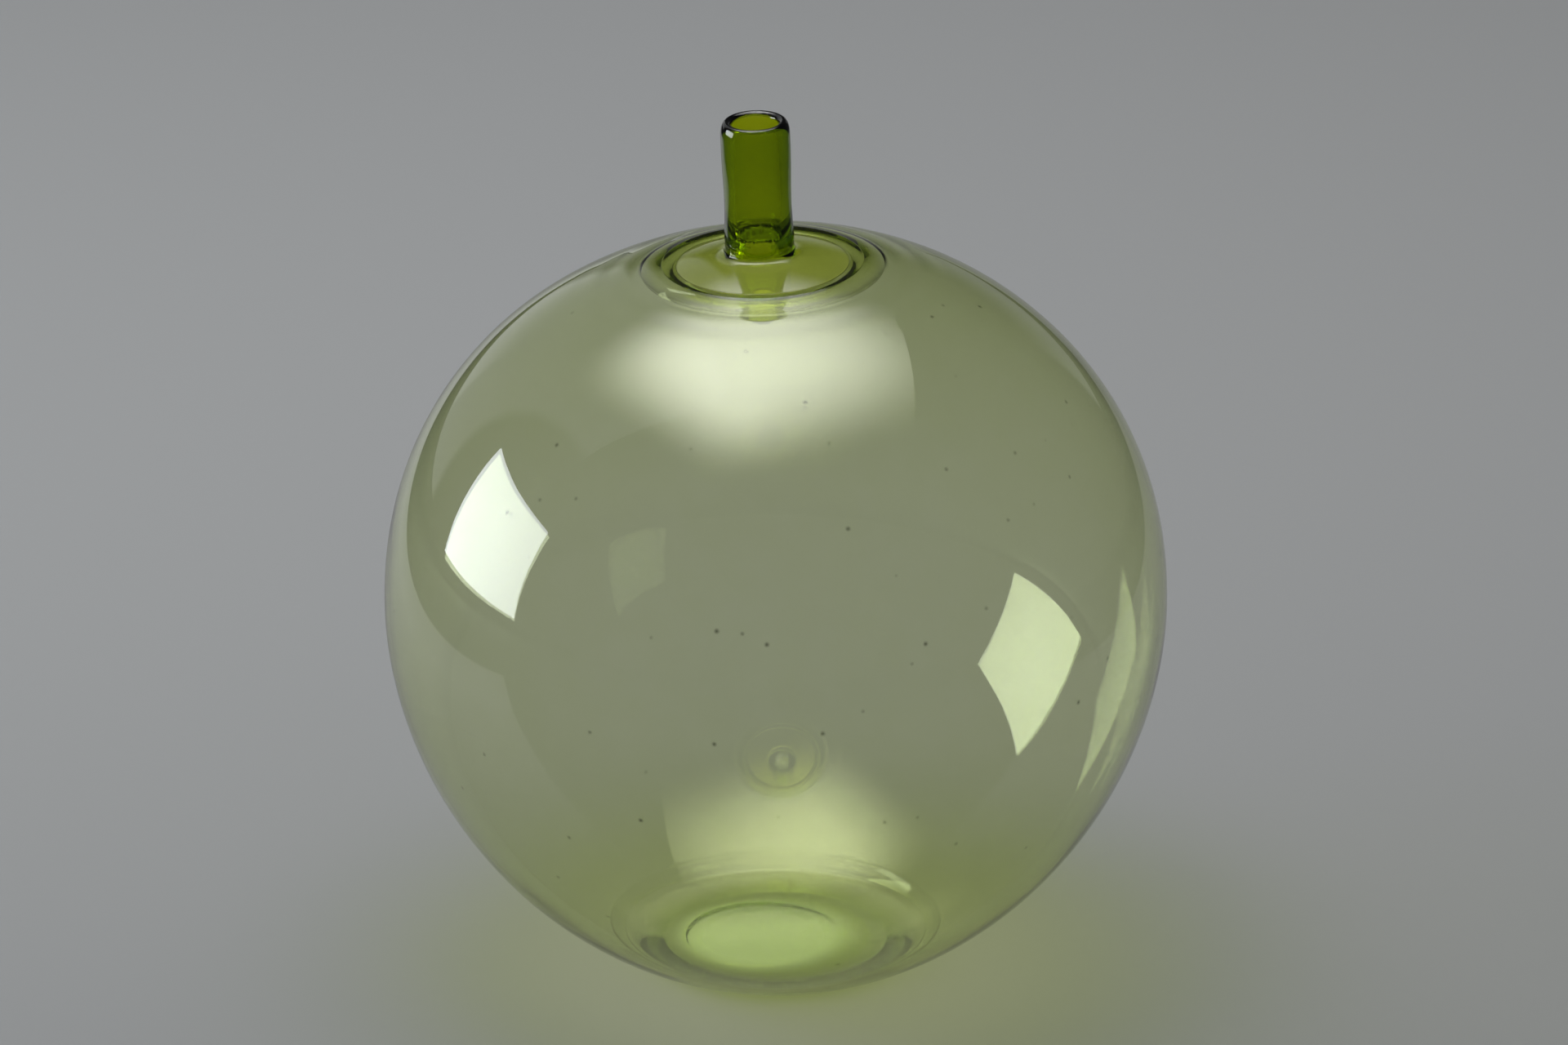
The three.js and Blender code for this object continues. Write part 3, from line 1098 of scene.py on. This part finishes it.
@dataclass
class Studio:
    """A plain pale floor and soft light, with lengths in metres."""

    floor_colour: str = "#8E8F8F"
    ambient_colour: str = "#878889"
    floor_radius: float = 6.0
    floor_sides: int = 96
    lit_radius: float = 1.5  # from the vase to where the floor starts to run into the backdrop
    blend: float = 2.5  # and over how far it does
    # Painted light: the paper near the vase is painted brighter, for the light that the curved glass
    # gathers onto it and to lighten the vase's shadow.
    painted_gathered_light: str = "#9B9B99"  # paper near the vase, where the curved glass gathers light
    gathered_reach: tuple[float, float] = (0.06, 0.20)
    # Painted glow: under the hollow the paper glows, for the light that the hollow gathers most.
    painted_focus_glow: str = "#CCD7CC"  # the same under the hollow, where it gathers most
    focus_reach: tuple[float, float] = (0.026, 0.042)
    focus_centre: float = -0.0052  # along X, under the middle of the hollow
    # Painted glow: the paper that the glass mirrors glows rather than being lit by the lamps, and these
    # set where that glow ends and how bright it is.
    table_half_width: float = 0.68  # the lit paper that the glass mirrors ends here, on each side
    table_edge: float = 0.03  # how softly it ends there
    table_front: float = 0.16  # and here in front
    front_edge: float = 0.01
    near_reach: tuple[float, float] = (0.14, 0.34)  # the gloss shows the true paper up to here
    table_shine: tuple[float, float] = (2.4, 0.95)  # its brightness by the window and away from it
    shine_reach: tuple[float, float] = (-0.52, -0.22)  # along X, from the one to the other
    room: float = 0.15  # brightness of the room round the paper, beside the backdrop's own
    room_from: float = 0.25  # sine of the angle above level at which the room begins
    backdrop_side: float = 0.45  # sine of the angle at which the backdrop ends on each side
    wall: float = 1.7  # brightness of the pale wall beside the window
    wall_side: float = -0.47  # sine of the angle to its middle, left of straight behind
    wall_half_width: float = 0.24
    wall_edge: float = 0.05  # how softly the wall and the backdrop end

    def floor_material(self) -> bpy.types.Material:
        """Makes matt paper with no gloss, whose light is partly painted: brighter near the vase, and
        glowing where the glass looks through or mirrors it.

        Returns:
            The paper, which runs into the backdrop's colour away from the vase.
        """
        paper = blank_material("matt_paper")
        tree = paper.node_tree
        place = add_node(tree, "ShaderNodeTexCoord").outputs["Object"]
        away = length_of(tree, place)
        inputs = {"Vector": place, "Location": (-self.focus_centre, 0, 0)}
        from_focus = add_node(tree, "ShaderNodeMapping", inputs)
        focus = length_of(tree, from_focus.outputs[0])
        # Painted light: the paper's colour is painted brighter near the vase.
        plain, painted_near_light = linear(self.floor_colour), linear(self.painted_gathered_light)
        near = blend_colours(tree, fade(tree, away, *self.gathered_reach), plain, painted_near_light)
        matt = add_node(tree, "ShaderNodeBsdfDiffuse", {"Color": near, "Roughness": 0.5})
        # Painted glow: only what is seen through the glass shows the light that the hollow gathers, as
        # a glowing patch of paper.
        through = add_node(tree, "ShaderNodeLightPath").outputs["Is Transmission Ray"]
        focused = maths(tree, "MULTIPLY", through, fade(tree, focus, *self.focus_reach))
        gathered = glowing(tree, self.painted_focus_glow)
        lit_paper = blend_shaders(tree, focused, matt, gathered)
        backdrop = glowing(tree, self.ambient_colour)
        share = fade(tree, away, self.lit_radius, self.lit_radius + self.blend)
        blended = blend_shaders(tree, share, backdrop, lit_paper)
        # Painted glow that only the gloss of the glass shows: the lit paper glows, brighter by the
        # window, and ends beside the vase and in front of it.
        spot = add_node(tree, "ShaderNodeSeparateXYZ", {"Vector": place})
        side = maths(tree, "ABSOLUTE", spot.outputs["X"])
        front = maths(tree, "MULTIPLY", spot.outputs["Y"], -1.0)
        beside = fade(tree, side, self.table_half_width, self.table_half_width + self.table_edge)
        in_front = fade(tree, front, self.table_front, self.table_front + self.front_edge)
        lit = maths(tree, "MULTIPLY", beside, in_front)
        shine = graded(tree, spot.outputs["X"], self.shine_reach, self.table_shine)
        level = add_node(tree, "ShaderNodeMix", {0: lit, 2: self.room, 3: shine})
        painted_table_glow = glowing(tree, self.ambient_colour, level.outputs[0])
        beyond = maths(tree, "SUBTRACT", 1.0, fade(tree, away, *self.near_reach))
        share = maths(tree, "MULTIPLY", in_gloss(tree), beyond)
        seen = blend_shaders(tree, share, blended, painted_table_glow)
        add_node(tree, "ShaderNodeOutputMaterial", {"Surface": seen.outputs[0]})
        return paper

    def build(self, target: Vector) -> None:
        """Lays the floor and sets the lamps and the world.

        Args:
            target: Middle of the vase.
        """
        deselect_all()
        bpy.ops.mesh.primitive_circle_add(
            vertices=self.floor_sides, radius=self.floor_radius, fill_type="NGON"
        )
        floor = bpy.context.object
        floor.name = "studio_floor"
        floor.data.materials.append(self.floor_material())
        for lamp in (OVERHEAD_SOFTBOX, LEFT_WINDOW):
            lamp.build(target)
        world = bpy.data.worlds.new("studio")
        bpy.context.scene.world = world
        world.use_nodes = True
        self.surround(world.node_tree)

    def surround(self, tree: Tree) -> None:
        """Sets the backdrop's colour all round, with a dim room above it for the gloss to show.

        Args:
            tree: Node tree of the world.
        """
        tree.nodes.clear()
        around = add_node(tree, "ShaderNodeTexCoord").outputs["Generated"]
        direction = add_node(tree, "ShaderNodeSeparateXYZ", {"Vector": around})
        across = direction.outputs["X"]
        behind = maths(tree, "GREATER_THAN", direction.outputs["Y"], 0.0)
        side = maths(tree, "ABSOLUTE", across)
        between = fade(tree, side, self.backdrop_side, self.backdrop_side + self.wall_edge)
        low = fade(tree, direction.outputs["Z"], 0.0, self.room_from)
        backdrop = maths(tree, "MULTIPLY", low, maths(tree, "MULTIPLY", behind, between))
        from_wall = maths(tree, "ABSOLUTE", maths(tree, "SUBTRACT", across, self.wall_side))
        by_wall = fade(tree, from_wall, self.wall_half_width, self.wall_half_width + self.wall_edge)
        wall = maths(tree, "MULTIPLY", behind, by_wall)
        dim = maths(tree, "MULTIPLY_ADD", backdrop, 1 - self.room, self.room)
        seen = maths(tree, "MULTIPLY_ADD", wall, self.wall, dim)
        level = add_node(tree, "ShaderNodeMix", {0: in_gloss(tree), 2: 1.0, 3: seen})
        inputs = {"Color": linear(self.ambient_colour), "Strength": level.outputs[0]}
        sky = add_node(tree, "ShaderNodeBackground", inputs)
        add_node(tree, "ShaderNodeOutputWorld", {"Surface": sky.outputs[0]})


@dataclass
class PhotoCamera:
    """The photograph's camera, solved from the widest circle, the seam, the lip and the hollow."""

    form: VaseForm
    photo_width: float = 1920.0
    photo_height: float = 1280.0
    focal_pixels: float = 16000.0
    elevation: float = 22.5  # degrees at which it looks down on the widest circle
    centre_pixel: tuple[float, float] = (950.0, 730.0)  # where the middle of that circle lies
    half_width_pixels: float = 479.0  # half the width of that circle
    sensor: float = 36.0

    def build(self) -> bpy.types.Object:
        """Places the camera.

        Returns:
            The camera, which is now the scene's own.
        """
        across = (self.centre_pixel[0] - self.photo_width / 2) / self.focal_pixels
        above = (self.photo_height / 2 - self.centre_pixel[1]) / self.focal_pixels
        pitch = math.radians(self.elevation) + math.atan(above)
        forward = Vector((0, math.cos(pitch), -math.sin(pitch)))
        upward = Vector((0, math.sin(pitch), math.cos(pitch)))
        depth = self.focal_pixels * self.form.globe_radius / self.half_width_pixels
        to_middle = forward + Vector((1, 0, 0)) * across + upward * above
        data = bpy.data.cameras.new("photo_camera")
        data.sensor_width = self.sensor
        data.lens = self.focal_pixels * self.sensor / self.photo_width
        data.clip_end = 100
        camera = bpy.data.objects.new("photo_camera", data)
        bpy.context.scene.collection.objects.link(camera)
        camera.location = (Vector((0, 0, self.form.equator_height)) - to_middle * depth) * MM
        camera.rotation_euler = (math.pi / 2 - pitch, 0, 0)
        bpy.context.scene.camera = camera
        return camera


def main() -> None:
    """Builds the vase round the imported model, then the studio and the camera."""
    logging.basicConfig(level=logging.INFO, format="%(name)s: %(message)s")
    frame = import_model()
    log.info("the packed model has %d solids", len(frame["nodes"]))
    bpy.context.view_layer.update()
    form = VaseForm.from_frame()
    pieces = [Globe(form).build(), BasePad(form).build(), *Crown(form).build(), Stem(form).build()]
    for piece in pieces:
        log.info("%s has %d faces", piece.name, len(piece.data.polygons))
    Studio().build(Vector((0, 0, form.equator_height)) * MM)
    PhotoCamera(form).build()
    scene = bpy.context.scene
    scene.view_settings.view_transform = "Standard"
    scene.cycles.max_bounces = 32
    scene.cycles.transmission_bounces = 24
    scene.cycles.transparent_max_bounces = 32
    bpy.context.view_layer.update()


if __name__ == "__main__":
    main()
